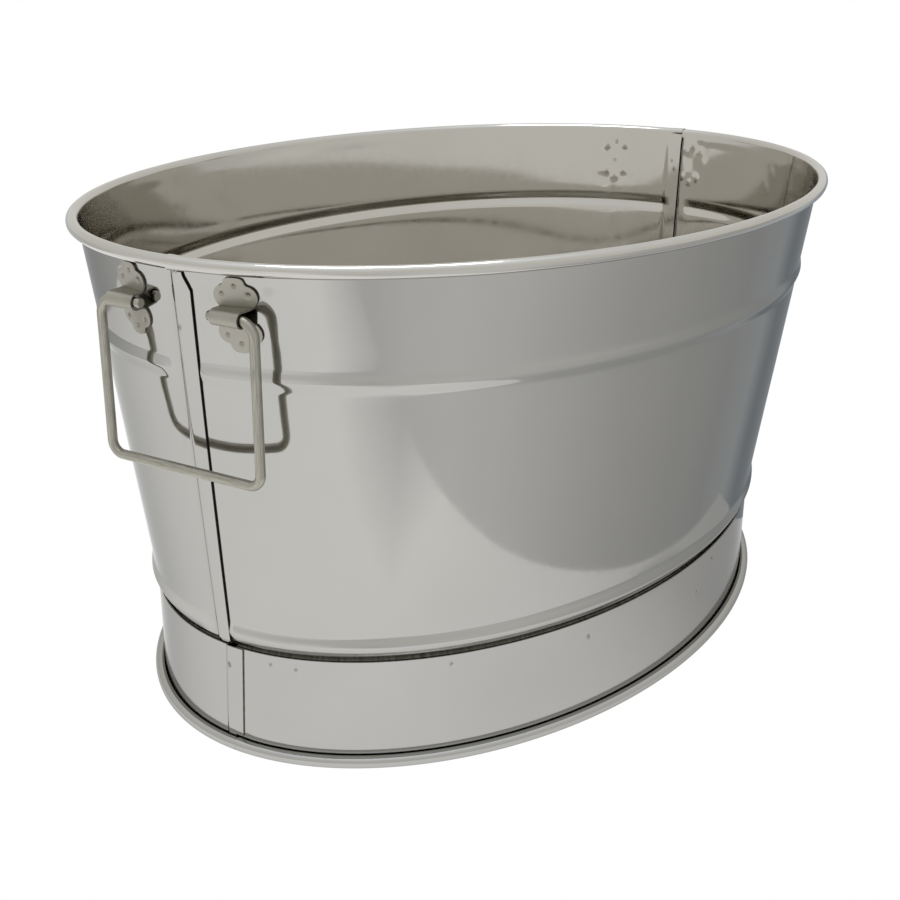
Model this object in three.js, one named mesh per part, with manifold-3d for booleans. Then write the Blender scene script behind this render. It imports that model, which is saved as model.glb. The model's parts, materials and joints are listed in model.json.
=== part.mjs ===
// An oval drinks tub of polished sheet steel: two half-oval wall panels seamed at the ends, a
// wired rim, a raised floor pan, a two-piece base band with a wired foot bead, and a wire bail
// handle at each end, hung from two pressed hinge straps. Millimetres, +Z up, X along the tub.
// The origin is on the ground under the middle of the tub.
import * as THREE from "three";
import Module from "manifold-3d";
import { mergeVertices } from "three/addons/utils/BufferGeometryUtils.js";

const wasm = await Module();
wasm.setup();

// ---- driving dimensions -------------------------------------------------------------------

const SHEET = 0.8; // thickness of every sheet
const GAP = 0.3; // clearance between touching pieces

// The reference oval, an ellipse at half height. Every sheet follows it at some offset.
const OVAL_X = 262;
const OVAL_Y = 178.5;

// Rim bead: the wall's top edge rolled outwards round a wire.
const RIM_Z = 266.5;
const RIM_X = 277;
const RIM_ROLL = 2.8; // radius of the roll's mid-surface
const WIRE_RADIUS = 1.9;

// Wall: a straight flare, with two pressed beads and a tucked foot.
const WALL_TOP_X = 274.2;
const FLARE = 0.134; // outward run per unit of height
const LAP_TOP_Z = 258; // the wall's seams end here, under the rim
const UPPER_BEAD_Z = 213;
const UPPER_BEAD_HALF = 5;
const UPPER_BEAD_RISE = 1.9;
const LOWER_BEAD_Z = 69;
const LOWER_BEAD_HALF = 5;
const LOWER_BEAD_X = 250.6;
const TUCK_X = 245.6; // the foot of the wall, inside the base band
const TUCK_Z = 38;

// Base band: nearly upright, its foot rolled outwards round a second wire.
const BAND_TOP_Z = 60;
const BAND_TOP_X = 247.1;
const BAND_FOOT_X = 246.3;
const FOOT_X = 249.3;
const FOOT_ROLL = 2.9;

// Floor pan: flat, with its edge turned down inside the wall's foot.
const FLOOR_Z = 48;
const FLOOR_EDGE_X = TUCK_X - SHEET - GAP;
const FLOOR_CORNER = 1.6;

// Seams: one end of each half laps over the other half's end by this much.
const LAP = 7;
const LAP_RISE = SHEET + 0.5; // clears the other half on the beads' slopes too
const LAP_RAMP = 4; // length over which the lapping end steps outwards
const LAP_MARGIN = 1; // the step reaches this far past the lap's upper and lower edges

// Handles and hinge straps.
const PIN_X = 275.5;
const PIN_Z = 244.6;
const ROD_RADIUS = 2.4;
const HANDLE_HALF_WIDTH = 45.5;
const HANDLE_DROP = 77.5;
const HANDLE_BEND = 8;
const HANDLE_CORNER = 6.5;
const PIN_END_Y = 20; // the rod's ends stop this far from the middle
const STRAP_Y = 31; // middle of a hinge strap
const STRAP_REACH = 18; // from the pin line to the strap's tip
const STRAP_NECK = 8; // half the length of the pressed channel
const STRAP_SHOULDER = 11.3; // half-width to which the shoulders' curve is drawn out
const STRAP_NOTCH_Z = 13.6; // height of the notch between shoulder and lobe
const STRAP_LOBE = 5; // half-width of the lobe at the tip
const CHANNEL_RADIUS = 3.1; // inside of the channel

// Fineness of the facets.
const HALF_STEPS = 32;
const ROLL_STEP = Math.PI / 4;
const BEND_STEPS = 4;

// ---- the oval -----------------------------------------------------------------------------

// The point of the reference oval at an angle, moved out along its normal.
function ovalPoint(angle, offset) {
  const x = OVAL_X * Math.cos(angle);
  const y = OVAL_Y * Math.sin(angle);
  const normal = new THREE.Vector2(x / OVAL_X ** 2, y / OVAL_Y ** 2).normalize();
  return new THREE.Vector2(x + normal.x * offset, y + normal.y * offset);
}

// The same on the oval's flat facets, which all the sheets and wires share.
function facetPoint(angle, offset) {
  const facet = Math.PI / HALF_STEPS;
  const first = Math.floor(angle / facet + 1e-6);
  const low = ovalPoint(first * facet, offset);
  return low.lerp(ovalPoint((first + 1) * facet, offset), angle / facet - first);
}

// Half-length of the wall's mid-surface at a height.
const wallX = (z) => WALL_TOP_X - FLARE * (RIM_Z - z);

// How far out the wall's outer face is, near an end of the tub, at a distance y from the middle.
function wallFace(y, z) {
  const offset = wallX(z) + SHEET / 2 - OVAL_X;
  return (OVAL_X + offset) * Math.sqrt(1 - (y / (OVAL_Y + offset)) ** 2);
}

// ---- sections and solids ------------------------------------------------------------------

// A closed outline round a centre line, half a sheet to each side, with mitred corners.
function sheetOutline(line) {
  const side = (sign) =>
    line.map((point, i) => {
      const before = line[Math.max(i - 1, 0)];
      const after = line[Math.min(i + 1, line.length - 1)];
      const first = (i > 0 ? point.clone().sub(before) : after.clone().sub(point)).normalize();
      const second = (i < line.length - 1 ? after.clone().sub(point) : first.clone()).normalize();
      const middle = first.clone().add(second).normalize();
      const reach = ((SHEET / 2) * sign) / middle.dot(first);
      return new THREE.Vector2(point.x + middle.y * reach, point.y - middle.x * reach);
    });
  return [...side(1), ...side(-1).reverse()];
}

// A roll of the sheet: points round a centre from one angle to another.
function roll(centre, radius, from, to) {
  const count = Math.round(Math.abs(to - from) / ROLL_STEP);
  return Array.from({ length: count + 1 }, (_, i) => {
    const angle = from + ((to - from) * i) / count;
    return new THREE.Vector2(
      centre.x + radius * Math.cos(angle),
      centre.y + radius * Math.sin(angle),
    );
  });
}

function toSolid(geometry) {
  const bare = geometry.index ? geometry.toNonIndexed() : geometry.clone();
  bare.deleteAttribute("normal");
  bare.deleteAttribute("uv");
  const merged = mergeVertices(bare, 1e-4);
  return new wasm.Manifold(
    new wasm.Mesh({
      numProp: 3,
      vertProperties: merged.getAttribute("position").array,
      triVerts: new Uint32Array(merged.index.array),
    }),
  );
}

function toGeometry(solid) {
  const mesh = solid.getMesh();
  const geometry = new THREE.BufferGeometry();
  geometry.setAttribute("position", new THREE.BufferAttribute(mesh.vertProperties, 3));
  geometry.setIndex(new THREE.BufferAttribute(mesh.triVerts, 1));
  return geometry;
}

// Moves every vertex of a geometry through a function.
function mapVertices(geometry, move) {
  const position = geometry.getAttribute("position");
  const point = new THREE.Vector3();
  for (let i = 0; i < position.count; i++) {
    point.fromBufferAttribute(position, i);
    move(point);
    position.setXYZ(i, point.x, point.y, point.z);
  }
  return geometry;
}

// A box between two corners.
function boxSolid(low, high) {
  const size = high.clone().sub(low);
  const middle = low.clone().add(high).multiplyScalar(0.5);
  const box = new THREE.BoxGeometry(size.x, size.y, size.z);
  return toSolid(box.translate(middle.x, middle.y, middle.z));
}

// Half of the oval swept from a section whose x is the half-length at the tub's end. It starts
// just past one end of the tub and laps over the other half at the other end, between two
// heights, standing off there by LAP_RISE. Outside those heights the lapping part is cut away.
function halfOval(line, lapLow, lapHigh) {
  const outline = sheetOutline(line);
  const turn = 1 / OVAL_Y; // angle per millimetre along the oval at the tub's ends
  const facet = Math.PI / HALF_STEPS;
  const angles = Array.from({ length: HALF_STEPS }, (_, row) => row * facet);
  angles[0] = (GAP / 2) * turn;
  angles.push(Math.PI - LAP_RAMP * turn);
  const plain = angles.length - 1;
  angles.push(Math.PI - (LAP_RAMP / 4) * turn, Math.PI, Math.PI + LAP * turn);
  const steps = angles.length - 1;
  const geometry = new THREE.ExtrudeGeometry(new THREE.Shape(outline), {
    depth: 1,
    steps,
    bevelEnabled: false,
  });
  mapVertices(geometry, (point) => {
    const row = Math.round((1 - point.z) * steps);
    const inLap = point.y > lapLow - LAP_MARGIN && point.y < lapHigh + LAP_MARGIN;
    const lapped = row > plain && inLap;
    const offset = point.x - OVAL_X + (lapped ? LAP_RISE : 0);
    const place = facetPoint(angles[row], offset);
    point.set(place.x, place.y, point.y);
  });
  const cutter = (low, high) =>
    boxSolid(new THREE.Vector3(-2 * OVAL_X, -2 * LAP, low), new THREE.Vector3(-OVAL_Y, GAP / 2, high));
  const top = 2 * RIM_Z;
  const solid = toSolid(geometry).subtract(cutter(lapHigh, top)).subtract(cutter(-top, lapLow));
  return toGeometry(solid);
}

// A ring or a pan that follows the whole oval, from a lathe profile in half-lengths.
function wholeOval(profile) {
  const geometry = new THREE.LatheGeometry(profile, 2 * HALF_STEPS);
  return mapVertices(geometry, (point) => {
    const radius = Math.hypot(point.x, point.z);
    const angle = Math.atan2(point.x, point.z);
    const place = radius < 1 ? new THREE.Vector2() : ovalPoint(angle, radius - OVAL_X);
    point.set(place.x, place.y, point.y);
  });
}

// ---- pieces of the tub --------------------------------------------------------------------

// One half of the wall, from its tucked foot to the roll of the rim.
function wallPanel() {
  const at = (x, z) => new THREE.Vector2(x, z);
  const bead = (z, half, crest) => [
    at(wallX(z - half), z - half),
    at(crest, z - half * 0.3),
    at(crest, z + half * 0.3),
    at(wallX(z + half), z + half),
  ];
  const line = [
    at(TUCK_X, TUCK_Z),
    at(TUCK_X, BAND_TOP_Z + SHEET),
    ...bead(LOWER_BEAD_Z, LOWER_BEAD_HALF, LOWER_BEAD_X),
    ...bead(UPPER_BEAD_Z, UPPER_BEAD_HALF, wallX(UPPER_BEAD_Z) + UPPER_BEAD_RISE),
    at(wallX(LAP_TOP_Z + LAP_MARGIN / 2), LAP_TOP_Z + LAP_MARGIN / 2),
    at(wallX(LAP_TOP_Z + 3 * LAP_MARGIN), LAP_TOP_Z + 3 * LAP_MARGIN),
    ...roll(at(RIM_X, RIM_Z), RIM_ROLL, 3.5 * ROLL_STEP, -2.5 * ROLL_STEP),
  ];
  return halfOval(line, LOWER_BEAD_Z - LOWER_BEAD_HALF + LAP_MARGIN / 2, LAP_TOP_Z);
}

// Height of the foot roll's centre, which puts its lowest facet on the ground.
const footZ = FOOT_ROLL * Math.cos(ROLL_STEP / 2) + SHEET / 2;

// One half of the base band, from its top edge to the roll of the foot.
function baseBand() {
  const footTop = 2 * FOOT_ROLL + SHEET;
  const line = [
    new THREE.Vector2(BAND_TOP_X, BAND_TOP_Z),
    new THREE.Vector2(BAND_FOOT_X + SHEET / 10, footTop + 3 * LAP_MARGIN),
    new THREE.Vector2(BAND_FOOT_X, footTop),
    ...roll(new THREE.Vector2(FOOT_X, footZ), FOOT_ROLL, 4.5 * ROLL_STEP, 10.5 * ROLL_STEP),
  ];
  return halfOval(line, footTop + 3.5 * LAP_MARGIN, BAND_TOP_Z + LAP_MARGIN);
}

// A wire laid round the oval inside a roll.
function edgeWire(x, z) {
  const sides = 6;
  const profile = Array.from({ length: sides + 1 }, (_, i) => {
    const angle = (2 * Math.PI * (i % sides)) / sides;
    return new THREE.Vector2(x + WIRE_RADIUS * Math.cos(angle), z + WIRE_RADIUS * Math.sin(angle));
  });
  return wholeOval(profile);
}

function floorPan() {
  const outer = FLOOR_EDGE_X + SHEET / 2;
  const inner = FLOOR_EDGE_X - SHEET / 2;
  const top = FLOOR_Z + SHEET / 2;
  const under = FLOOR_Z - SHEET / 2;
  const profile = [
    new THREE.Vector2(0, under),
    new THREE.Vector2(inner - FLOOR_CORNER / 2, under),
    new THREE.Vector2(inner, under - FLOOR_CORNER / 2),
    new THREE.Vector2(inner, TUCK_Z),
    new THREE.Vector2(outer, TUCK_Z),
    new THREE.Vector2(outer, top - FLOOR_CORNER),
    new THREE.Vector2(outer - FLOOR_CORNER, top),
    new THREE.Vector2(0, top),
  ];
  return wholeOval(profile);
}

// ---- handles ------------------------------------------------------------------------------

// A bent rod's centre line: straight runs and bends, one knot at each step.
class RodPath extends THREE.Curve {
  constructor(knots) {
    super();
    this.knots = knots;
  }

  getPoint(t, target = new THREE.Vector3()) {
    const place = THREE.MathUtils.clamp(t, 0, 1) * (this.knots.length - 1);
    const index = Math.min(Math.floor(place), this.knots.length - 2);
    return target.lerpVectors(this.knots[index], this.knots[index + 1], place - index);
  }

  getUtoTmapping(u) {
    return u;
  }
}

// A quarter bend in the YZ plane about a centre.
function quarterBend(y, z, radius, from, to) {
  return Array.from({ length: BEND_STEPS + 1 }, (_, i) => {
    const angle = from + ((to - from) * i) / BEND_STEPS;
    return new THREE.Vector3(PIN_X, y + radius * Math.cos(angle), z + radius * Math.sin(angle));
  });
}

// The bail at the +X end, hanging straight down from its two pin ends.
function bailHandle() {
  const quarter = Math.PI / 2;
  const side = HANDLE_HALF_WIDTH;
  const low = PIN_Z - HANDLE_DROP;
  const half = [
    new THREE.Vector3(PIN_X, PIN_END_Y, PIN_Z),
    ...quarterBend(side - HANDLE_BEND, PIN_Z - HANDLE_BEND, HANDLE_BEND, quarter, 0),
    ...quarterBend(side - HANDLE_CORNER, low + HANDLE_CORNER, HANDLE_CORNER, 0, -quarter),
  ];
  const other = half.map((knot) => new THREE.Vector3(knot.x, -knot.y, knot.z)).reverse();
  const knots = [...half, ...other];
  const section = new THREE.Shape();
  section.absarc(0, 0, ROD_RADIUS, 0, 2 * Math.PI);
  return new THREE.ExtrudeGeometry(section, {
    steps: knots.length - 1,
    curveSegments: 8,
    extrudePath: new RodPath(knots),
  });
}

// ---- hinge straps -------------------------------------------------------------------------

// Outline of a strap in its own plane: a waist as long as the channel, two shoulders and a
// round lobe above it, and the same below.
function strapOutline() {
  const waist = CHANNEL_RADIUS + SHEET;
  const [out, notch, lobe] = [STRAP_SHOULDER, STRAP_NOTCH_Z, STRAP_LOBE];
  const quarter = new THREE.Path();
  quarter.moveTo(STRAP_NECK, waist);
  quarter.bezierCurveTo(out, waist + 2.5, out, notch - 1.4, lobe + 1.6, notch);
  quarter.quadraticCurveTo(lobe + 0.2, notch + 0.4, lobe, notch + 1.4);
  quarter.quadraticCurveTo(lobe - 0.6, STRAP_REACH, 0, STRAP_REACH);
  const points = quarter.getPoints(3);
  const flip = (list, x, y) => list.map((p) => new THREE.Vector2(p.x * x, p.y * y));
  const back = [...points].reverse();
  return [
    ...points,
    ...flip(back.slice(1), -1, 1),
    ...flip(points, -1, -1),
    ...flip(back.slice(1), 1, -1),
  ];
}

// A strap at the +X end. Its plate lies along the wall; its pressed channel runs straight along
// Y over the pin. In the section, y is height from the pin line, and x is measured from the wall
// on the plate and from the pin line in the channel.
function hingeStrap(middleY) {
  const reach = STRAP_REACH + 2;
  const outside = CHANNEL_RADIUS + SHEET;
  const fillet = SHEET / 2;
  const channel = (radius) => roll(new THREE.Vector2(), radius, -Math.PI / 2, Math.PI / 2);
  const section = new THREE.Shape([
    new THREE.Vector2(0, -reach),
    new THREE.Vector2(SHEET, -reach),
    new THREE.Vector2(SHEET, -outside - fillet),
    ...channel(outside),
    new THREE.Vector2(SHEET, outside + fillet),
    new THREE.Vector2(SHEET, reach),
    new THREE.Vector2(0, reach),
    new THREE.Vector2(0, CHANNEL_RADIUS + fillet),
    ...channel(CHANNEL_RADIUS).reverse(),
    new THREE.Vector2(0, -CHANNEL_RADIUS - fillet),
  ]);
  const half = STRAP_SHOULDER + 1;
  const strip = new THREE.ExtrudeGeometry(section, { depth: 2 * half, steps: 4, bevelEnabled: false });
  mapVertices(strip, (point) => {
    const y = middleY + half - point.z;
    const z = PIN_Z + point.y;
    const height = Math.abs(point.y);
    const onPlate = height > outside || (point.x === 0 && height > CHANNEL_RADIUS);
    const x = onPlate ? wallFace(y, z) + GAP + point.x : PIN_X + point.x;
    point.set(x, y, z);
  });
  const blank = new THREE.ExtrudeGeometry(new THREE.Shape(strapOutline()), {
    depth: 2 * STRAP_REACH,
    bevelEnabled: false,
  });
  const back = PIN_X - STRAP_REACH;
  mapVertices(blank, (point) => point.set(back + point.z, middleY + point.x, PIN_Z + point.y));
  return toGeometry(toSolid(strip).intersect(toSolid(blank)));
}

// ---- materials ----------------------------------------------------------------------------

const steel = (color, roughness) => () =>
  new THREE.MeshStandardMaterial({ color, roughness, metalness: 1 });
const polishedSteel = steel(0xd2d2cc, 0.12);
const bandSteel = steel(0xc9c9c2, 0.18);
const satinSteel = steel(0xb4b2a6, 0.35);
const wireSteel = steel(0x8f8e88, 0.45);

// ---- assembly -----------------------------------------------------------------------------

const tub = new THREE.Group();

function add(name, geometry, material, turned = false) {
  const mesh = new THREE.Mesh(geometry.clone(), material());
  mesh.geometry.computeVertexNormals();
  mesh.name = name;
  mesh.rotation.z = turned ? Math.PI : 0;
  tub.add(mesh);
}

// Both halves of the wall and of the band are the same piece, one turned half round.
const panel = wallPanel();
add("back_wall_panel", panel, polishedSteel);
add("front_wall_panel", panel, polishedSteel, true);
const band = baseBand();
add("back_base_band", band, bandSteel);
add("front_base_band", band, bandSteel, true);

add("floor_pan", floorPan(), polishedSteel);
add("rim_wire", edgeWire(RIM_X, RIM_Z), wireSteel);
add("foot_wire", edgeWire(FOOT_X, footZ), wireSteel);

const bail = bailHandle();
add("right_handle", bail, satinSteel);
add("left_handle", bail, satinSteel, true);

for (const side of [-1, 1]) {
  const strap = hingeStrap(side * STRAP_Y);
  add(`right_${side < 0 ? "front" : "back"}_hinge_strap`, strap, satinSteel);
  add(`left_${side < 0 ? "back" : "front"}_hinge_strap`, strap, satinSteel, true);
}

export default tub;
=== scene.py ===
import json
import math

import bpy
import numpy as np
from mathutils import Matrix, Vector


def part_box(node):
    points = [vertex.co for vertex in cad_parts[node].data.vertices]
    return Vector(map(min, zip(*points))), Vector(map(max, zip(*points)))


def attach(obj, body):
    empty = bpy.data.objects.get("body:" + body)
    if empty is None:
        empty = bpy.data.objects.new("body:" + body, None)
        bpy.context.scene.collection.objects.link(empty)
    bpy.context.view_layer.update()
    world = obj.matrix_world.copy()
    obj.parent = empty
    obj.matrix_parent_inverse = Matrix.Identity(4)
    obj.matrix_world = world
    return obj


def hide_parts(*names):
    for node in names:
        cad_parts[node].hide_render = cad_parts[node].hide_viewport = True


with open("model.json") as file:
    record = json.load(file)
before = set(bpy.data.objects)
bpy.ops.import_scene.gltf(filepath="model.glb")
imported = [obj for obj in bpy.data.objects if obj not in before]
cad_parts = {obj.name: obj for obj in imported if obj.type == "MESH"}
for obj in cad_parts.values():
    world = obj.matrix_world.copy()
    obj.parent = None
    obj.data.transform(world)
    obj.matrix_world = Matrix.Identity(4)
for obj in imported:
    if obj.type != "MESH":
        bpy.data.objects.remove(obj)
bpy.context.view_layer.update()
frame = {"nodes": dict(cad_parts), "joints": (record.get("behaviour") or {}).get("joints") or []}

MM = 0.001

# ---- sizes taken from the frame -------------------------------------------------------------

WIRE = 1.9 * MM  # radius of the wire inside the rim and the foot
rim_low, rim_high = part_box("rim_wire")
foot_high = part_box("foot_wire")[1]
handle_low, handle_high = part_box("right_handle")
RIM_X = rim_high.x - WIRE
RIM_Y = rim_high.y - WIRE
RIM_Z = (rim_low.z + rim_high.z) / 2
FOOT_X = foot_high.x - WIRE
BAND_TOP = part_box("front_base_band")[1].z
FLOOR_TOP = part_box("floor_pan")[1].z
TUCK_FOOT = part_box("front_wall_panel")[0].z
JOINTS = {joint["name"]: joint for joint in frame["joints"]}
PIN_X = JOINTS["right_handle_swing"]["pos_m"][0]
PIN_Z = JOINTS["right_handle_swing"]["pos_m"][2]

# ---- sheet metal ----------------------------------------------------------------------------

SHEET = 0.8 * MM
GAP = 0.3 * MM

# The reference oval, an ellipse inside the rim. Every sheet follows it at some offset.
OVAL_X = RIM_X - 15 * MM
OVAL_Y = RIM_Y - 15 * MM

# Wall: a straight flare with two pressed V-shaped beads, tucked into the base band at its foot.
RIM_ROLL = 2.8 * MM
WALL_TOP = RIM_X - RIM_ROLL - OVAL_X
FLARE = 0.134
UPPER_BEAD_Z = 213 * MM
UPPER_BEAD_RISE = 1.7 * MM
LOWER_BEAD_Z = 69 * MM
LOWER_BEAD_RISE = 2.4 * MM
BEAD_HALF = 5 * MM
BEAD_ROUND = 0.2  # softness of a bead's creases, as a share of its half-width
BEAD_FADE = (5 * MM, 13 * MM)  # distances from a seam between which a bead rises
TUCK = 245.6 * MM - OVAL_X
TUCK_TOP = BAND_TOP + SHEET
TUCK_REACH = 3.5 * MM

# Wall seams: one end of each half laps over the other, leaning a little.
LAP = 8 * MM
LAP_RISE = 1.1 * MM
LAP_RAMP = 1.8 * MM
LAP_TOP = RIM_Z - 4.6 * MM
LAP_LOW = BAND_TOP + 1.5 * MM
LAP_SNIP = 3.2 * MM  # width cut off the lap's corner under the rim
LAP_SNIP_Z = 253 * MM
SEAM_LEAN = 0.052
STRIP_DEPTH = 0.6 * MM  # the back panel steps in by this much beside the right end's seam
RIGHT_SEAM = -19 * MM  # the right end's seam is this far off the middle line

# Base band: nearly upright, rolled outwards round the foot's wire.
FOOT_ROLL = 2.9 * MM
FOOT_Z = FOOT_ROLL + SHEET / 2
BAND_HEAD = 246.8 * MM - OVAL_X
BAND_LAP = 6 * MM
BAND_LAP_START = 5.5 * MM
BAND_LAP_RISE = 0.85 * MM
BAND_LEAN = 0.06

# Hinge straps and handles.
STRAP_Y = 31 * MM
STRAP_TOP = 262.4 * MM
CHANNEL_HALF = 8 * MM
CHANNEL_RADIUS = 3.5 * MM
ROD = 2.4 * MM
HANDLE_SIDE = (handle_high.y - handle_low.y) / 2 - ROD
HANDLE_LOW = handle_low.z + ROD - PIN_Z
HANDLE_BEND = 8 * MM
HANDLE_CORNER = 6.5 * MM
PIN_END = 20 * MM
STRAP_WELDS = [(-6.2, 9.7), (6.2, 9.7), (0, 13.4), (-6.2, -9.7), (6.2, -9.7), (0, -13.4)]
STRAP_WELDS = [(y * MM, z * MM) for y, z in STRAP_WELDS]


# ---- the oval -------------------------------------------------------------------------------

def oval(angle, offset):
    """Points of the reference oval at some angles, moved out along its normal."""
    x, y = OVAL_X * np.cos(angle), OVAL_Y * np.sin(angle)
    nx, ny = x / OVAL_X**2, y / OVAL_Y**2
    length = np.hypot(nx, ny)
    return x + nx / length * offset, y + ny / length * offset


def arc_table():
    """Angles round the oval, and the distance along it from the +X end to each."""
    angle = np.linspace(-0.2, math.pi + 0.2, 4001)
    x, y = oval(angle, 0)
    length = np.concatenate([[0], np.cumsum(np.hypot(np.diff(x), np.diff(y)))])
    return angle, length - np.interp(0, angle, length)


ARC_ANGLE, ARC_LENGTH = arc_table()
HALF_LENGTH = float(np.interp(math.pi, ARC_ANGLE, ARC_LENGTH))


def angle_at(distance):
    return np.interp(distance, ARC_LENGTH, ARC_ANGLE)


def wall_face(y, z):
    """How far out the wall's outer face is near an end of the tub."""
    offset = WALL_TOP - FLARE * (RIM_Z - z) + SHEET / 2
    return (OVAL_X + offset) * np.sqrt(1 - (y / (OVAL_Y + offset)) ** 2)


def arc_to(y):
    """Distance along the oval from the +X end to a place across the tub."""
    return float(np.interp(math.asin(y / (OVAL_Y + WALL_TOP)), ARC_ANGLE, ARC_LENGTH))


# ---- where the handles are welded on ---------------------------------------------------------

class Mount:
    """A handle's pin line, as if at the +X end: its middle, its height and its lean."""

    def __init__(self, side, turn):
        joint = JOINTS[f"{side}_handle_swing"]
        self.y = joint["pos_m"][1] * turn
        self.z = joint["pos_m"][2]
        across, up = joint["axis"][1] * turn, joint["axis"][2]
        self.lean = math.atan2(up, across) if across > 0 else math.atan2(-up, -across)

    def at(self, along, up):
        """The place of a point given along the pin line and upwards from it."""
        cos, sin = math.cos(self.lean), math.sin(self.lean)
        return self.y + along * cos - up * sin, self.z + along * sin + up * cos


RIGHT_MOUNT = Mount("right", 1)
LEFT_MOUNT = Mount("left", -1)


# ---- mesh helpers ---------------------------------------------------------------------------

def smooth(value, low, high):
    """0 below low, 1 above high, and an even ease in between."""
    t = np.clip((value - low) / (high - low), 0, 1)
    return t * t * (3 - 2 * t)


def stations(start, end, coarse, fine, zones, stops=()):
    """Places from start to end: a coarse step apart, a fine one in the zones, and every stop."""
    places = [start]
    while places[-1] < end:
        here = places[-1] + fine / 2
        near = any(low <= here <= high for low, high in zones)
        ahead = [low for low, high in zones if low > here]
        step = fine if near else min([coarse] + [max(low - places[-1], fine) for low in ahead])
        places.append(min(places[-1] + step, end))
    places = np.array(places)
    for stop in stops:
        places[np.abs(places - stop).argmin()] = stop
    return places


def surface_normals(grid, closed):
    """Unit normals of a grid of points, from the slopes along its rows and columns."""
    along = np.roll(grid, -1, 1) - np.roll(grid, 1, 1) if closed else np.gradient(grid, axis=1)
    across = np.gradient(grid, axis=0)
    normal = np.cross(along, across)
    return normal / np.maximum(np.linalg.norm(normal, axis=2, keepdims=True), 1e-12)


def mesh_object(name, vertices, faces, slots, materials, sharp=50):
    mesh = bpy.data.meshes.new(name)
    mesh.from_pydata(vertices.tolist(), [], faces)
    for material in materials:
        mesh.materials.append(material)
    mesh.polygons.foreach_set("material_index", slots)
    mesh.shade_smooth()
    mesh.set_sharp_from_angle(angle=math.radians(sharp))
    mesh.update()
    piece = bpy.data.objects.new(name, mesh)
    bpy.context.scene.collection.objects.link(piece)
    return piece


def sheet_object(name, grid, materials, keep=None, closed=False, marks=None):
    """A closed sheet round a grid of mid-surface points: an outer face, an inner face and edges.

    keep says which quads are there. materials are those of the outer face, the inner face and
    the cut edges. marks are named values at the grid's points, stored on the mesh."""
    rows, columns = grid.shape[:2]
    normal = surface_normals(grid, closed)
    sides = [grid + normal * SHEET / 2, grid - normal * SHEET / 2]
    vertices = np.concatenate([side.reshape(-1, 3) for side in sides])
    count = rows * columns
    wide = columns if closed else columns - 1
    keep = np.ones((rows - 1, wide), bool) if keep is None else keep
    i, j = np.nonzero(keep)
    after = (j + 1) % columns
    a, b = i * columns + j, i * columns + after
    c, d = a + columns, b + columns
    outer = np.stack([a, b, d, c], 1)
    inner = np.stack([a, c, d, b], 1) + count
    edges = []
    padded = np.zeros((rows + 1, wide + 2), bool)
    padded[1:-1, 1:-1] = keep
    if closed:
        padded[1:-1, 0], padded[1:-1, -1] = keep[:, -1], keep[:, 0]
    for step, first, second in (((-1, 0), a, b), ((1, 0), d, c), ((0, -1), c, a), ((0, 1), b, d)):
        open_side = ~padded[i + 1 + step[0], j + 1 + step[1]]
        p, q = first[open_side], second[open_side]
        edges.append(np.stack([q, p, p + count, q + count], 1))
    edges = np.concatenate(edges)
    faces = np.concatenate([outer, inner, edges])
    slots = np.repeat([0, 1, 2], [len(outer), len(inner), len(edges)]).astype(np.int32)
    used = np.unique(faces)
    index = np.zeros(len(vertices), int)
    index[used] = np.arange(len(used))
    piece = mesh_object(name, vertices[used], index[faces].tolist(), slots, materials)
    for key, values in (marks or {}).items():
        attribute = piece.data.attributes.new(key, "FLOAT", "POINT")
        attribute.data.foreach_set("value", np.tile(values.reshape(-1), 2)[used].astype(np.float32))
    return piece


def turn_half(piece):
    """Turns a piece half round about the tub's upright axis."""
    piece.data.transform(Matrix.Rotation(math.pi, 4, "Z"))
    return piece


# ---- materials ------------------------------------------------------------------------------

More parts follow.
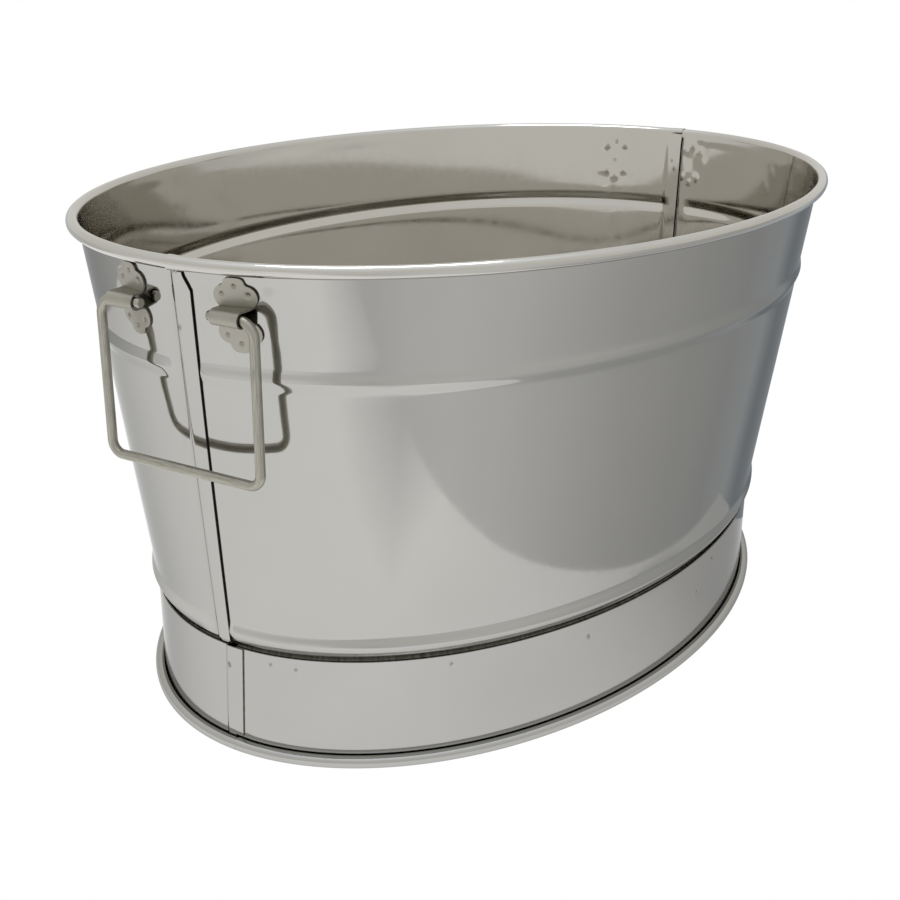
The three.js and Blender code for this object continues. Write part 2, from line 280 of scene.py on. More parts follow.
class Surface:
    """A material with a Principled shader and short ways to add its nodes."""

    def __init__(self, name, metallic=1.0, ior=1.5):
        self.material = bpy.data.materials.new(name)
        self.material.use_nodes = True
        self.nodes = self.material.node_tree.nodes
        self.links = self.material.node_tree.links
        self.shader = self.nodes["Principled BSDF"]
        self.shader.inputs["Metallic"].default_value = metallic
        self.shader.inputs["IOR"].default_value = ior

    def place(self, stretch=(1, 1, 1)):
        coordinates = self.nodes.new("ShaderNodeTexCoord")
        mapping = self.nodes.new("ShaderNodeMapping")
        mapping.inputs["Scale"].default_value = stretch
        self.links.new(coordinates.outputs["Object"], mapping.inputs["Vector"])
        return mapping.outputs["Vector"]

    def mark(self, name, vector=False):
        node = self.nodes.new("ShaderNodeAttribute")
        node.attribute_name = name
        return node.outputs["Vector" if vector else "Fac"]

    def noise(self, scale, detail=3, roughness=0.5, vector=None):
        node = self.nodes.new("ShaderNodeTexNoise")
        node.inputs["Scale"].default_value = scale
        node.inputs["Detail"].default_value = detail
        node.inputs["Roughness"].default_value = roughness
        self.links.new(vector or self.place(), node.inputs["Vector"])
        return node.outputs["Fac"]

    def ramp(self, value, *stops):
        node = self.nodes.new("ShaderNodeValToRGB")
        elements = node.color_ramp.elements
        while len(elements) < len(stops):
            elements.new(0.5)
        for element, (position, colour) in zip(elements, stops):
            element.position = position
            element.color = (*colour, 1)
        self.links.new(value, node.inputs["Fac"])
        return node.outputs["Color"]

    def span(self, value, low, high, to_low, to_high):
        node = self.nodes.new("ShaderNodeMapRange")
        for key, number in zip(("From Min", "From Max", "To Min", "To Max"), (low, high, to_low, to_high)):
            node.inputs[key].default_value = number
        self.links.new(value, node.inputs["Value"])
        return node.outputs["Result"]

    def mix(self, factor, first, second):
        node = self.nodes.new("ShaderNodeMix")
        node.data_type = "RGBA"
        sockets = [s for s in node.inputs if s.type == "RGBA"]
        self.links.new(factor, node.inputs["Factor"])
        for socket, value in zip(sockets, (first, second)):
            if isinstance(value, tuple):
                socket.default_value = (*value, 1)
            else:
                self.links.new(value, socket)
        return [s for s in node.outputs if s.type == "RGBA"][0]

    def bump(self, height, distance, strength=1.0):
        node = self.nodes.new("ShaderNodeBump")
        node.inputs["Distance"].default_value = distance
        node.inputs["Strength"].default_value = strength
        self.links.new(height, node.inputs["Height"])
        self.links.new(node.outputs["Normal"], self.shader.inputs["Normal"])

    def use(self, colour=None, roughness=None):
        for key, value in (("Base Color", colour), ("Roughness", roughness)):
            if value is not None:
                self.links.new(value, self.shader.inputs[key])
        return self.material


def scaled(colour, by):
    return tuple(channel * by for channel in colour)


def polished(name, colour, gloss=(0.05, 0.1), grazing=0.6, stained=True):
    """Mirror-polished sheet steel, slightly clouded and finely scratched, with heat tint where welded."""
    surface = Surface(name)
    cloud = surface.noise(9, detail=4, roughness=0.6)
    fine = surface.noise(160, detail=3, roughness=0.65)
    tone = surface.ramp(cloud, (0.32, scaled(colour, 0.975)), (0.68, scaled(colour, 1.02)))
    if stained:
        tint = surface.mark("stain")
        tone = surface.mix(tint, tone, (0.115, 0.07, 0.04))
    surface.shader.inputs["Specular Tint"].default_value = (grazing, grazing, grazing, 1)
    roughness = surface.span(fine, 0.3, 0.7, *gloss)
    surface.bump(fine, 0.00002, 0.35)
    return surface.use(tone, roughness)


def edge_painted_shadow():
    """The sheared edge of the sheet, rough and grainy, painted near black: painted shadow of the dark gaps at
    the seams and cut edges.
    """
    surface = Surface("sheared_edge", metallic=0.6)
    grain = surface.noise(700, detail=2)
    # Painted shadow: near-black colour for the edge faces, so the gaps beside them read dark.
    tone = surface.ramp(grain, (0.3, (0.012, 0.011, 0.009)), (0.75, (0.06, 0.052, 0.042)))
    surface.shader.inputs["Roughness"].default_value = 0.6
    surface.bump(grain, 0.0001, 0.5)
    return surface.use(tone)


def band_edge():
    """The base band's sheared edge, dull grey with a little brown oxide."""
    surface = Surface("band_edge", metallic=0.8)
    grain = surface.noise(500, detail=2)
    tone = surface.ramp(grain, (0.3, (0.13, 0.115, 0.09)), (0.75, (0.3, 0.29, 0.26)))
    surface.shader.inputs["Roughness"].default_value = 0.5
    return surface.use(tone)


def satin_edge():
    """The cut edge of a strap: satin steel, a little darker than its face."""
    surface = Surface("strap_edge")
    grain = surface.noise(600, detail=2)
    tone = surface.ramp(grain, (0.3, (0.16, 0.15, 0.125)), (0.75, (0.3, 0.285, 0.25)))
    surface.shader.inputs["Roughness"].default_value = 0.45
    return surface.use(tone)


def satin(name="satin_steel"):
    """Tumbled strap steel: warm grey, fine grained, with brown rings at its spot welds."""
    surface = Surface(name)
    cloud = surface.noise(55, detail=4, roughness=0.6)
    grain = surface.noise(1500, detail=2, roughness=0.6)
    tone = surface.ramp(cloud, (0.3, (0.37, 0.355, 0.305)), (0.7, (0.43, 0.415, 0.365)))
    tone = surface.mix(surface.mark("stain"), tone, (0.16, 0.075, 0.045))
    surface.bump(grain, 0.00006, 0.5)
    return surface.use(tone, surface.span(cloud, 0.3, 0.7, 0.36, 0.46))


def drawn_rod():
    """Drawn and brushed rod, streaked along its length."""
    surface = Surface("drawn_rod")
    place = surface.mark("rod_place", vector=True)
    streak = surface.noise(3.2, detail=4, roughness=0.7, vector=place)
    cloud = surface.noise(70, detail=3)
    tone = surface.ramp(streak, (0.34, (0.27, 0.255, 0.21)), (0.62, (0.47, 0.455, 0.4)))
    surface.bump(streak, 0.00012, 0.6)
    return surface.use(tone, surface.span(cloud, 0.3, 0.7, 0.24, 0.36))


def wire():
    """Bright galvanised wire inside the rolls."""
    surface = Surface("edge_wire")
    cloud = surface.noise(180, detail=3)
    tone = surface.ramp(cloud, (0.3, (0.2, 0.2, 0.19)), (0.7, (0.32, 0.32, 0.3)))
    return surface.use(tone, surface.span(cloud, 0.3, 0.7, 0.4, 0.55))


OUTER_STEEL = polished("outer_steel", (0.5, 0.495, 0.47))
INNER_STEEL = polished("inner_steel", (0.6, 0.585, 0.545), gloss=(0.06, 0.11), grazing=1.0)
# The base band's colour is darker than the wall's. This is painted shade for the dimmer, shadowed floor the band
# reflects close to the foot. Its rougher gloss is its own finish.
BAND_STEEL_PAINTED_SHADE = polished("base_band_steel", (0.475, 0.47, 0.45), gloss=(0.09, 0.14))
PAN_STEEL = polished("floor_pan_steel", (0.54, 0.53, 0.48), gloss=(0.1, 0.16), stained=False)
# Cut edges of the wall and floor pan, painted near black as painted shadow in the seams' gaps.
EDGE = edge_painted_shadow()
BAND_EDGE = band_edge()
STRAP_STEEL = satin()
STRAP_EDGE = satin_edge()
ROD_STEEL = drawn_rod()
WIRE_STEEL = wire()


# ---- wall panels ----------------------------------------------------------------------------

def soft_positive(value, softness):
    return (value + np.sqrt(value * value + softness * softness)) / 2


def bead(z, middle):
    """Height of a V-shaped pressed bead, 1 at its ridge, with lightly rounded creases."""
    t = (z - middle) / BEAD_HALF
    return soft_positive(1 + BEAD_ROUND / 2 - np.sqrt(t * t + BEAD_ROUND**2), BEAD_ROUND)


def waves(distance, z, phase):
    """Slight waviness of the sheet, in metres."""
    x, h = distance / MM, z / MM
    slow = np.sin(x / 21 + h / 47 + phase) * np.sin(h / 33 - x / 61 + 2 * phase)
    long = np.sin(x / 39 - 1.3 * phase) * np.cos(h / 71 + phase)
    fast = np.sin(x / 11 + h / 14 + 3 * phase) * np.sin(h / 12 - x / 19)
    return (0.1 * slow + 0.16 * long + 0.012 * fast) * MM


def dents(distance, z, places):
    """Shallow inward marks that the straps' spot welds leave on the wall, and their heat tint."""
    depth = np.zeros_like(distance)
    tint = np.zeros_like(distance)
    for middle, height, lean in places:
        cos, sin = math.cos(lean), math.sin(lean)
        along = (distance - middle) * cos + (z - height) * sin
        above = (z - height) * cos - (distance - middle) * sin
        x, h = along / MM, above / MM
        zone = np.exp(-((x / 13) ** 4) - ((h / 17) ** 4))
        depth -= 0.16 * zone * np.sin(x / 2.3 + 1 + middle * 9) * np.sin(h / 3.1 + x / 7 + middle * 5)
        for y, up in STRAP_WELDS:
            r2 = ((along - y) ** 2 + (above - up) ** 2) / MM**2
            depth -= 0.32 * np.exp(-r2 / 5.5)
            tint += 0.75 * np.exp(-r2 / 0.7)
    return depth * MM, tint


# Each speck beside a seam: its distance along the panel, its height, and its radius in mm.
SEAM_SPECKS = [
    (HALF_LENGTH + 0.4 * MM, 235 * MM, 0.75),
    (HALF_LENGTH - 7 * MM, 174 * MM, 0.8),
    (4 * MM, 240 * MM, 1.0),
    (6 * MM, 246 * MM, 0.6),
    (5 * MM, 120 * MM, 0.7),
]


def seam_stains(distance, z):
    """Rust specks and brown weld marks along the seams."""
    tint = np.zeros_like(distance)
    for place, height, size in SEAM_SPECKS:
        r2 = ((distance - place) ** 2 + ((z - height) * 0.6) ** 2) / (size * MM) ** 2
        tint += 0.9 * np.exp(-r2)
    edge = np.exp(-np.abs(distance - HALF_LENGTH + LAP_RAMP) / (1.6 * MM))
    return tint + 0.05 * edge


def wall_section():
    """Heights of the wall's rows, and the points of its rolled rim above them."""
    creases = [(z - 7 * MM, z + 7 * MM) for z in (UPPER_BEAD_Z, LOWER_BEAD_Z)]
    zones = [(TUCK_TOP - MM, LAP_LOW + MM), *creases, (PIN_Z - 19 * MM, RIM_Z)]
    heights = stations(TUCK_FOOT, RIM_Z, 6 * MM, 1 * MM, zones, (LAP_LOW, LAP_TOP))
    extra = [z + step * BEAD_HALF for z in (UPPER_BEAD_Z, LOWER_BEAD_Z)
             for step in (-1.1, -1, -0.9, -0.1, -0.05, 0, 0.05, 0.1, 0.9, 1, 1.1)]
    heights = np.unique(np.round(np.concatenate([heights, extra]), 7))
    roll = np.radians(np.arange(168, -133, -12))
    return heights, roll


def strap_places(first, last):
    """Distance, height and lean of the two straps on a panel, from the mounts at its two ends."""
    start_y, start_z = first.at(STRAP_Y, 0)
    end_y, end_z = last.at(-STRAP_Y, 0)
    return (arc_to(start_y), start_z, first.lean), (HALF_LENGTH - arc_to(-end_y), end_z, last.lean)


def wall_panel(name, phase, mounts, shift, turned=False):
    """One half of the wall. mounts are those at its two ends, and shift is how far along the
    oval each of its ends is from the tub's middle line."""
    heights, roll = wall_section()
    start, end = GAP / 2, HALF_LENGTH + LAP
    stretch = 1 + (shift[1] - shift[0]) / HALF_LENGTH
    ends = [(0, 56 * MM), (HALF_LENGTH - 50 * MM, end)]
    stops = (HALF_LENGTH - LAP_RAMP, HALF_LENGTH)
    distance = stations(start, end, 5.5 * MM, 1 * MM, ends, stops)

    # The upright part of the wall.
    place, z = np.meshgrid(distance, heights)
    lean = SEAM_LEAN * (RIM_Z - z)
    snip = LAP_SNIP * smooth(z, LAP_SNIP_Z, LAP_SNIP_Z + 9 * MM) + 0.3 * MM * smooth(z, 254 * MM, 254.5 * MM)
    lap = place > HALF_LENGTH
    reach = np.where(lap, (place - HALF_LENGTH) * (1 - snip / LAP), 0)
    shown = shift[0] + np.where(lap, HALF_LENGTH + reach, place) * stretch - lean
    offset = WALL_TOP - FLARE * (RIM_Z - z)
    tuck = smooth(z, TUCK_TOP, TUCK_TOP + TUCK_REACH)
    offset = TUCK * (1 - tuck) + offset * tuck
    low, high = BEAD_FADE
    fade = smooth(place, low, high) * smooth(HALF_LENGTH - place, low, high)
    offset += fade * (UPPER_BEAD_RISE * bead(z, UPPER_BEAD_Z) + LOWER_BEAD_RISE * bead(z, LOWER_BEAD_Z))
    held = smooth(z, LAP_LOW - 4 * MM, LAP_LOW + 8 * MM) * (1 - smooth(z, RIM_Z - 9 * MM, RIM_Z - 2 * MM))
    quiet = smooth(place, 0, 12 * MM) * smooth(HALF_LENGTH - place, 0, 12 * MM)
    offset += waves(shown, z, phase) * held * quiet
    depth, tint = dents(shown, z, strap_places(*mounts))
    offset += depth
    tint += seam_stains(place, z)
    raised = smooth(place, HALF_LENGTH - LAP_RAMP, HALF_LENGTH)
    raised *= smooth(z, TUCK_TOP - MM, LAP_LOW) * (1 - smooth(z, LAP_TOP, LAP_TOP + 2 * MM))
    offset += LAP_RISE * raised
    if not turned:
        offset -= STRIP_DEPTH * (1 - smooth(place, 9 * MM, 12 * MM)) * held
    x, y = oval(angle_at(shown), offset)
    wall = np.stack([x, y, z], 2)

    # The rolled rim: the starting end of each half is a little fuller, so it stands over the
    # other half's end.
    ring, turn = np.meshgrid(np.minimum(distance, HALF_LENGTH), roll)
    full = 0.42 * MM * np.exp(-((ring / (7 * MM)) ** 2))
    radius = RIM_ROLL + full + 0.05 * MM * np.sin(ring / MM / 9 + phase) * np.sin(turn * 2)
    across = RIM_X - OVAL_X + radius * np.cos(turn)
    x, y = oval(angle_at(shift[0] + ring * stretch), across)
    rim = np.stack([x, y, RIM_Z + radius * np.sin(turn)], 2)

    grid = np.concatenate([wall, rim])
    tint = np.concatenate([tint, np.zeros_like(ring)])
    middle = (distance[1:] + distance[:-1]) / 2
    level = np.concatenate([(heights[1:] + heights[:-1]) / 2, np.full(len(roll), 2 * RIM_Z)])
    wavy_top = LAP_TOP + 0.5 * MM * np.sin(middle / MM * 1.9)
    in_lap = (level[:, None] < wavy_top[None]) & (level[:, None] > LAP_LOW)
    keep = (middle[None] < HALF_LENGTH) | in_lap
    piece = sheet_object(name, grid, (OUTER_STEEL, INNER_STEEL, EDGE), keep, marks={"stain": tint})
    return turn_half(piece) if turned else piece


# ---- base band ------------------------------------------------------------------------------

BAND_WELDS = [(24.3, 54.8), (40, 54), (128, 55), (218, 50), (330, 38), (352, 52), (470, 55), (560, 52)]


def base_band(name, phase, turned=False):
    end = HALF_LENGTH + BAND_LAP
    welds = [(along * MM, height * MM) for along, height in BAND_WELDS]
    spots = [(along - 4 * MM, along + 4 * MM) for along, height in welds]
    ends = [(0, 16 * MM), *spots, (HALF_LENGTH - 32 * MM, end)]
    stops = (HALF_LENGTH - BAND_LAP_START - MM, HALF_LENGTH - BAND_LAP_START, HALF_LENGTH)
    distance = stations(GAP / 2, end, 5.5 * MM, 0.8 * MM, sorted(ends), stops)
    heights = stations(FOOT_Z + 0.5 * MM, BAND_TOP, 4 * MM, 0.8 * MM, [(34 * MM, BAND_TOP)])[::-1]
    place, z = np.meshgrid(distance, heights)
    lean = BAND_LEAN * (BAND_TOP - z)
    shown = place - lean * smooth(np.abs(place - HALF_LENGTH / 2), 200 * MM, 280 * MM)
    foot_offset = FOOT_X - FOOT_ROLL - OVAL_X
    offset = foot_offset + (BAND_HEAD - foot_offset) * (z - FOOT_Z) / (BAND_TOP - FOOT_Z)
    offset += waves(shown, z, phase) * 0.6 * smooth(z, 8 * MM, 25 * MM)
    tint = np.zeros_like(z)
    for along, height in welds:
        r2 = ((place - along) ** 2 + (z - height) ** 2) / MM**2
        offset += (-0.3 * np.exp(-r2 / 2.4) + 0.1 * np.exp(-((np.sqrt(r2) - 2.8) ** 2) / 1.5)) * MM
        tint += 0.75 * np.exp(-r2 / 0.8)
    for along, height in ((HALF_LENGTH - 4 * MM, 49.7 * MM), (HALF_LENGTH - 3.4 * MM, 48.3 * MM)):
        r2 = ((place - along) ** 2 + (z - height) ** 2) / (0.8 * MM) ** 2
        tint += np.exp(-r2)
    start = HALF_LENGTH - BAND_LAP_START
    raised = smooth(place, start - MM, start) * smooth(z, 6 * MM, 9 * MM)
    offset += BAND_LAP_RISE * raised
    tint += 0.3 * np.exp(-(((place - start + 0.6 * MM) / (0.8 * MM)) ** 2))
    x, y = oval(angle_at(shown), offset)
    band = np.stack([x, y, z], 2)

    ring, turn = np.meshgrid(np.minimum(distance, HALF_LENGTH), np.radians(np.arange(180, 481, 12)))
    full = 0.35 * MM * np.exp(-((ring / (6 * MM)) ** 2)) * (np.sin(turn) > -0.2)
    radius = FOOT_ROLL + full
    x, y = oval(angle_at(ring), FOOT_X - OVAL_X + radius * np.cos(turn))
    roll = np.stack([x, y, FOOT_Z + radius * np.sin(turn)], 2)

    # The rows run from the top edge down, so they are turned over to face outwards.
    grid = np.concatenate([band, roll])[::-1]
    tint = np.concatenate([tint, np.zeros_like(ring)])[::-1]
    middle = (distance[1:] + distance[:-1]) / 2
    level = np.concatenate([(heights[1:] + heights[:-1]) / 2, np.zeros(len(turn))])[::-1]
    keep = (middle[None] < HALF_LENGTH) | (level[:, None] > 8 * MM)
    piece = sheet_object(name, grid, (BAND_STEEL_PAINTED_SHADE, BAND_STEEL_PAINTED_SHADE, BAND_EDGE), keep, marks={"stain": tint})
    return turn_half(piece) if turned else piece


# ---- floor pan ------------------------------------------------------------------------------

def floor_pan():
    """A flat pan with a rounded edge turned down inside the wall, slightly wavy."""
    edge = TUCK - SHEET - GAP
    corner = 2.2 * MM
    mid = FLOOR_TOP - SHEET / 2
    angle = np.linspace(0, 2 * math.pi, 240, endpoint=False)
    inward = np.concatenate([np.linspace(-165, -8, 34) * MM, np.linspace(-6, -2.4, 5) * MM])
    rows = [(float(step) + edge, mid) for step in inward]
    for turn in np.radians(np.arange(90, -1, -15)):
        rows.append((edge - corner + corner * math.cos(turn), mid - corner + corner * math.sin(turn)))
    rows += [(edge, z) for z in np.linspace(mid - corner - MM, TUCK_FOOT, 4)]
    offset, z = np.array(rows[::-1]).T
    turn, offset = np.meshgrid(angle, offset)
    x, y = oval(turn, offset)
    level = np.repeat(z[:, None], len(angle), 1)
    flat = smooth(-offset, -edge + 3 * MM, -edge + 25 * MM)
    level = level + flat * (0.25 * np.sin(x / MM / 37) * np.cos(y / MM / 29) - 0.15) * MM
    ring = np.stack([x, y, level], 2)
    piece = sheet_object("inner_floor_pan", ring, (PAN_STEEL, PAN_STEEL, EDGE), closed=True)
    return piece


# ---- handles --------------------------------------------------------------------------------

def quarter(along, up, radius, start, end):
    turn = np.linspace(start, end, 13)
    return [(along + radius * math.cos(t), up + radius * math.sin(t)) for t in turn]


def handle_line():
    """The bail's centre line, along its pin line and up from it, from one end to the other."""
    half = math.pi / 2
    side = HANDLE_SIDE
    points = [(PIN_END, 0), (PIN_END + 0.4 * MM, 0), ((PIN_END + side) / 2, 0)]
    points += quarter(side - HANDLE_BEND, -HANDLE_BEND, HANDLE_BEND, half, 0)
    points += [(side, up) for up in np.linspace(-HANDLE_BEND, HANDLE_LOW + HANDLE_CORNER, 12)[1:-1]]
    points += quarter(side - HANDLE_CORNER, HANDLE_LOW + HANDLE_CORNER, HANDLE_CORNER, 0, -half)
    points += [(along, HANDLE_LOW) for along in np.linspace(side - HANDLE_CORNER, 0, 8)[1:]]
    return points + [(-along, up) for along, up in points[-2::-1]]


def bail_handle(name, body, node, mount, turned=False):
    """A bent rod of round section with plain cut ends."""
    line = np.array([mount.at(along, up) for along, up in handle_line()])
    sides = 28
    tangent = np.gradient(line, axis=0)
    tangent /= np.linalg.norm(tangent, axis=1, keepdims=True)
    along = np.concatenate([[0], np.cumsum(np.linalg.norm(np.diff(line, axis=0), axis=1))])
    turn = np.linspace(0, 2 * math.pi, sides, endpoint=False)
    radius = np.full(len(line), ROD)
    radius[[0, -1]] = ROD * 0.88
    vertices, marks = [], []
    for (y, z), (ty, tz), r, s in zip(line, tangent, radius, along):
        for t in turn:
            out, side = r * math.cos(t), r * math.sin(t)
            vertices.append((PIN_X + out, y - tz * side, z + ty * side))
            marks.append((s * 30, math.cos(t) * 2.2, math.sin(t) * 2.2))
    rings = len(line)
    faces = [[i * sides + j, i * sides + (j + 1) % sides, (i + 1) * sides + (j + 1) % sides,
              (i + 1) * sides + j] for i in range(rings - 1) for j in range(sides)]
    faces = [face[::-1] for face in faces]
    faces.append(list(range(sides)))
    faces.append([(rings - 1) * sides + j for j in range(sides)][::-1])
    piece = mesh_object(name, np.array(vertices), faces, [0] * len(faces), [ROD_STEEL], sharp=40)
    attribute = piece.data.attributes.new("rod_place", "FLOAT_VECTOR", "POINT")
    attribute.data.foreach_set("vector", np.array(marks, np.float32).reshape(-1))
    if turned:
        turn_half(piece)
    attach(piece, body)
    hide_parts(node)
    return piece


# ---- hinge straps ---------------------------------------------------------------------------

def bezier(points, count):
    """Points along a Bezier curve, without its first."""
    points = np.array(points, float)
    result = []
    for t in np.linspace(0, 1, count + 1)[1:]:
        level = points
        while len(level) > 1:
            level = level[:-1] * (1 - t) + level[1:] * t
        result.append(tuple(level[0]))
    return result


def strap_outline():
    """Half-width and height of the strap's upper plate, from the channel to the tip, in mm."""
    waist = 3.9
    line = [(8.0, waist)]
    line += bezier([(8, waist), (11.3, 6.4), (11.3, 12.2), (6.6, 13.6)], 22)
    line += bezier([(6.6, 13.6), (5.2, 14), (5, 15)], 5)
    line += bezier([(5, 15), (4.4, 18), (0.05, 18)], 12)
    return np.array(line) * MM


def hinge_strap(name, node, mount, middle, turned=False):
    """A plate shaped to the wall, with a channel pressed across it over the handle's end."""
    outline = strap_outline()
    across = np.linspace(-1, 1, 43)
    rows = []  # half-width, height from the pin, and how far out from the plate towards the pin
    rows += [(w, h, 0.0) for w, h in outline[::-1]]
    neck = CHANNEL_HALF
    rows += [(neck, CHANNEL_RADIUS + 0.12 * MM, 0.12)]
    rows += [(neck, CHANNEL_RADIUS, 0.3), (neck, CHANNEL_RADIUS, 0.8)]
    for turn in np.radians(np.arange(90, -1, -10)):
        rows.append((neck, CHANNEL_RADIUS * math.sin(turn), 1 + CHANNEL_RADIUS * math.cos(turn)))
    rows += [(w, -h, out) for w, h, out in rows[-2::-1]]
    width, height, out = np.array(rows).T
    t, width = np.meshgrid(across, width)
    height, out = height[:, None] + 0 * t, out[:, None] + 0 * t
    y, z = mount.at(middle + t * width, height)
    soft = 1.5 * MM
    over = np.maximum(z - STRAP_TOP + soft, 0)
    z = z - over + soft * (1 - np.exp(-over / soft))
    plate = wall_face(y, z) + GAP + SHEET / 2
    tint = np.zeros_like(z)
    flat = out == 0
    for side, up in STRAP_WELDS:
        dy, dz = (t * width - side) / MM, (height - up) / MM
        r2 = dy**2 + dz**2
        plate -= np.where(flat, 0.55 * np.exp(-((r2 / 1.5) ** 2)), 0) * MM
        crescent = np.exp(-((np.sqrt(r2) - 0.75) ** 2) / 0.16) * (0.35 + 0.65 * smooth(dz, -0.6, 0.8))
        tint += np.where(flat, 0.9 * crescent, 0)
    raised = np.where(out <= 1, plate + (PIN_X - plate) * np.minimum(out, 1), PIN_X + out - 1)
    grid = np.stack([raised, y, z], 2)[::-1]
    piece = sheet_object(name, grid, (STRAP_STEEL, STRAP_STEEL, STRAP_EDGE), marks={"stain": tint[::-1]})
    if turned:
        turn_half(piece)
    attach(piece, "tub")
    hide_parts(node)
    return piece


# ---- assembly -------------------------------------------------------------------------------

def place_on_tub(piece, node):
    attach(piece, "tub")
    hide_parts(node)


def build_tub():
    back = wall_panel("back_wall", 0.7, (RIGHT_MOUNT, LEFT_MOUNT), (RIGHT_SEAM, 0))
    front = wall_panel("front_wall", 2.1, (LEFT_MOUNT, RIGHT_MOUNT), (0, RIGHT_SEAM), turned=True)
    place_on_tub(back, "back_wall_panel")
    place_on_tub(front, "front_wall_panel")
    place_on_tub(base_band("back_band", 1.4), "back_base_band")
    place_on_tub(base_band("front_band", 0.3, turned=True), "front_base_band")
    place_on_tub(floor_pan(), "floor_pan")
    bail_handle("right_bail", "right_handle", "right_handle", RIGHT_MOUNT)
    bail_handle("left_bail", "left_handle", "left_handle", LEFT_MOUNT, turned=True)
    for side in (-1, 1):
        near, far = ("front", "back") if side < 0 else ("back", "front")
        place = side * STRAP_Y
        hinge_strap(f"right_{near}_strap", f"right_{near}_hinge_strap", RIGHT_MOUNT, place)
        hinge_strap(f"left_{far}_strap", f"left_{far}_hinge_strap", LEFT_MOUNT, place, turned=True)
    for node in ("rim_wire", "foot_wire"):
        for slot in frame["nodes"][node].material_slots:
            slot.material = WIRE_STEEL


# ---- studio ---------------------------------------------------------------------------------

def studio_world():
    """A pale studio: light above, dimmer towards the camera's right and low down, white behind."""
    world = bpy.data.worlds.new("studio")
    bpy.context.scene.world = world
    world.use_nodes = True
    nodes, links = world.node_tree.nodes, world.node_tree.links
    coordinates = nodes.new("ShaderNodeTexCoord")
    parts = nodes.new("ShaderNodeSeparateXYZ")
    links.new(coordinates.outputs["Generated"], parts.inputs["Vector"])
    turn = nodes.new("ShaderNodeMath")
    turn.operation = "ARCTAN2"
    links.new(parts.outputs["Y"], turn.inputs[0])
    links.new(parts.outputs["X"], turn.inputs[1])

    def ramp(value, stops, low, high):
        span = nodes.new("ShaderNodeMapRange")
        span.inputs["From Min"].default_value = low
        span.inputs["From Max"].default_value = high
        links.new(value, span.inputs["Value"])
        node = nodes.new("ShaderNodeValToRGB")
        elements = node.color_ramp.elements
        while len(elements) < len(stops):
            elements.new(0.5)
        for element, (position, colour) in zip(elements, stops):
            element.position = (position - low) / (high - low)
            element.color = (*colour, 1)
        links.new(span.outputs["Result"], node.inputs["Fac"])
        return node.outputs["Color"]

    def mix(factor, first, second):
        node = nodes.new("ShaderNodeMix")
        node.data_type = "RGBA"
        sockets = [s for s in node.inputs if s.type == "RGBA"]
        links.new(factor, node.inputs["Factor"])
        for socket, value in zip(sockets, (first, second)):
            if isinstance(value, tuple):
                socket.default_value = (*value, 1)
            else:
                links.new(value, socket)
        return [s for s in node.outputs if s.type == "RGBA"][0]

    def grey(level, blue=0.0):
        return (level * (1 - blue), level, level * (1 + blue))

    round_about = [(math.radians(a), grey(level, blue)) for a, level, blue in (
        (-180, 0.95, 0), (-168, 0.9, 0), (-155, 0.72, 0), (-143, 0.66, 0),
        (-130, 0.73, 0), (-115, 0.75, 0), (-98, 0.71, 0), (-80, 0.62, 0),
        (-60, 0.51, 0), (-42, 0.46, 0), (-25, 0.46, 0.02), (-12, 0.56, 0.05), (-3, 0.34, 0.08), (12, 0.33, 0.08),
        (30, 0.4, 0.05), (60, 0.55, 0.02), (95, 0.6, 0), (125, 0.78, 0), (160, 0.9, 0), (180, 0.88, 0))]
    below = ramp(turn.outputs[0], round_about, -math.pi, math.pi)
    above = ramp(parts.outputs["Z"], [(0.0, (0.72, 0.71, 0.68)), (0.4, (0.74, 0.73, 0.7)),
                                      (0.75, (0.8, 0.81, 0.83)), (0.95, (1.05, 1.08, 1.12))], 0, 1)
    horizon = nodes.new("ShaderNodeMapRange")
    horizon.inputs["From Min"].default_value = -0.06
    horizon.inputs["From Max"].default_value = 0.08
    links.new(parts.outputs["Z"], horizon.inputs["Value"])
    room = mix(horizon.outputs["Result"], below, above)
    rays = nodes.new("ShaderNodeLightPath")
    seen = mix(rays.outputs["Is Camera Ray"], room, (1.0, 1.0, 1.0))
    links.new(seen, nodes["Background"].inputs["Color"])


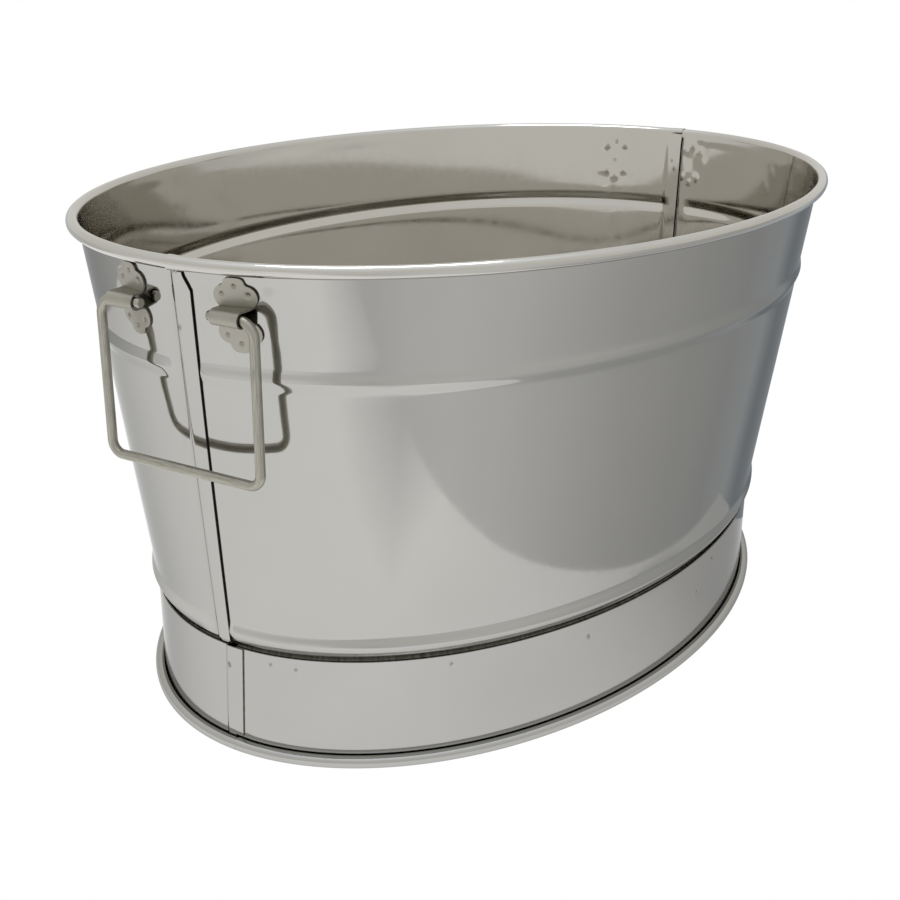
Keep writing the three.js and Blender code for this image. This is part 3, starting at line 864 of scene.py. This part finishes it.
def board():
    """The pale board that the tub stands on. It is no lamp, but it glows with painted light and painted shade:
    dimmer to the front right, and dimmer near its front edge at the far left. To the camera it is plain white.
    """
    corners = [(-0.75, -0.357), (0.19, -0.219), (0.24, 0.75), (-0.75, 0.75)]
    mesh = bpy.data.meshes.new("board")
    mesh.from_pydata([(x, y, 0) for x, y in corners], [], [(0, 1, 2, 3)])
    piece = bpy.data.objects.new("board", mesh)
    bpy.context.scene.collection.objects.link(piece)
    surface = Surface("pale_board", metallic=0)
    surface.nodes.remove(surface.shader)
    parts = surface.nodes.new("ShaderNodeSeparateXYZ")
    surface.links.new(surface.place(), parts.inputs["Vector"])
    # Painted light and shade: the glow dims towards +X and turns white towards the back.
    along = surface.ramp(surface.span(parts.outputs["X"], -0.3, 0.2, 0, 1),
                         (0.0, (1.03, 1.03, 1.03)), (0.4, (0.86, 0.86, 0.86)), (0.7, (0.64, 0.64, 0.64)))
    back = surface.span(parts.outputs["Y"], -0.16, 0.0, 0, 1)
    painted_light = surface.mix(back, along, (1.0, 1.0, 1.0))
    # Painted shade: the glow drops to 0.72 near the front edge, at the far left only.
    inside = surface.nodes.new("ShaderNodeVectorMath")
    inside.operation = "DOT_PRODUCT"
    inside.inputs[1].default_value = (-0.147, 1, 0)
    surface.links.new(surface.place(), inside.inputs[0])
    away = surface.span(inside.outputs["Value"], -0.247, -0.11, 0, 1)
    right = surface.span(parts.outputs["X"], -0.42, -0.3, 0, 1)
    bright = surface.nodes.new("ShaderNodeMath")
    bright.operation = "MAXIMUM"
    surface.links.new(away, bright.inputs[0])
    surface.links.new(right, bright.inputs[1])
    painted_light = surface.mix(bright.outputs[0], (0.72, 0.72, 0.72), painted_light)
    # The board glows with this painted light instead of being lit by lamps.
    glow = surface.nodes.new("ShaderNodeEmission")
    surface.links.new(painted_light, glow.inputs["Color"])
    rays = surface.nodes.new("ShaderNodeLightPath")
    white = surface.nodes.new("ShaderNodeEmission")
    choose = surface.nodes.new("ShaderNodeMixShader")
    surface.links.new(rays.outputs["Is Camera Ray"], choose.inputs[0])
    surface.links.new(glow.outputs[0], choose.inputs[1])
    surface.links.new(white.outputs[0], choose.inputs[2])
    surface.links.new(choose.outputs[0], surface.nodes["Material Output"].inputs["Surface"])
    mesh.materials.append(surface.material)


def soft_light(name, place, aim, size, power):
    lamp = bpy.data.lights.new(name, "AREA")
    lamp.shape = "RECTANGLE"
    lamp.size, lamp.size_y = size
    lamp.energy = power
    light = bpy.data.objects.new(name, lamp)
    light.location = place
    light.rotation_euler = (Vector(aim) - Vector(place)).to_track_quat("-Z", "Y").to_euler()
    bpy.context.scene.collection.objects.link(light)


def camera():
    """A camera to the left and front of the tub, looking down on it."""
    azimuth, elevation, roll = (math.radians(a) for a in (-58.94, 20.26, 0.31))
    back = Vector((math.sin(azimuth) * math.cos(elevation), -math.cos(azimuth) * math.cos(elevation),
                   math.sin(elevation)))
    right = Vector((math.cos(azimuth), math.sin(azimuth), 0))
    right = right * math.cos(roll) + back.cross(right) * math.sin(roll)
    up = back.cross(right)
    lens = bpy.data.cameras.new("camera")
    lens.lens = 54.16
    lens.sensor_width = 36
    lens.clip_start = 0.01
    view = bpy.data.objects.new("camera", lens)
    view.matrix_world = Matrix((
        (right.x, up.x, back.x, -2.6 * RIM_X),
        (right.y, up.y, back.y, -1.492 * RIM_X),
        (right.z, up.z, back.z, 1.433 * RIM_X),
        (0, 0, 0, 1),
    ))
    bpy.context.scene.collection.objects.link(view)
    bpy.context.scene.camera = view


camera()
build_tub()
studio_world()
board()
soft_light("overhead", (0.1, 0.1, 1.7), (0, 0, 0), (1.0, 0.5), 9)
bpy.context.scene.view_settings.view_transform = "Standard"
bpy.context.scene.cycles.glossy_bounces = 10
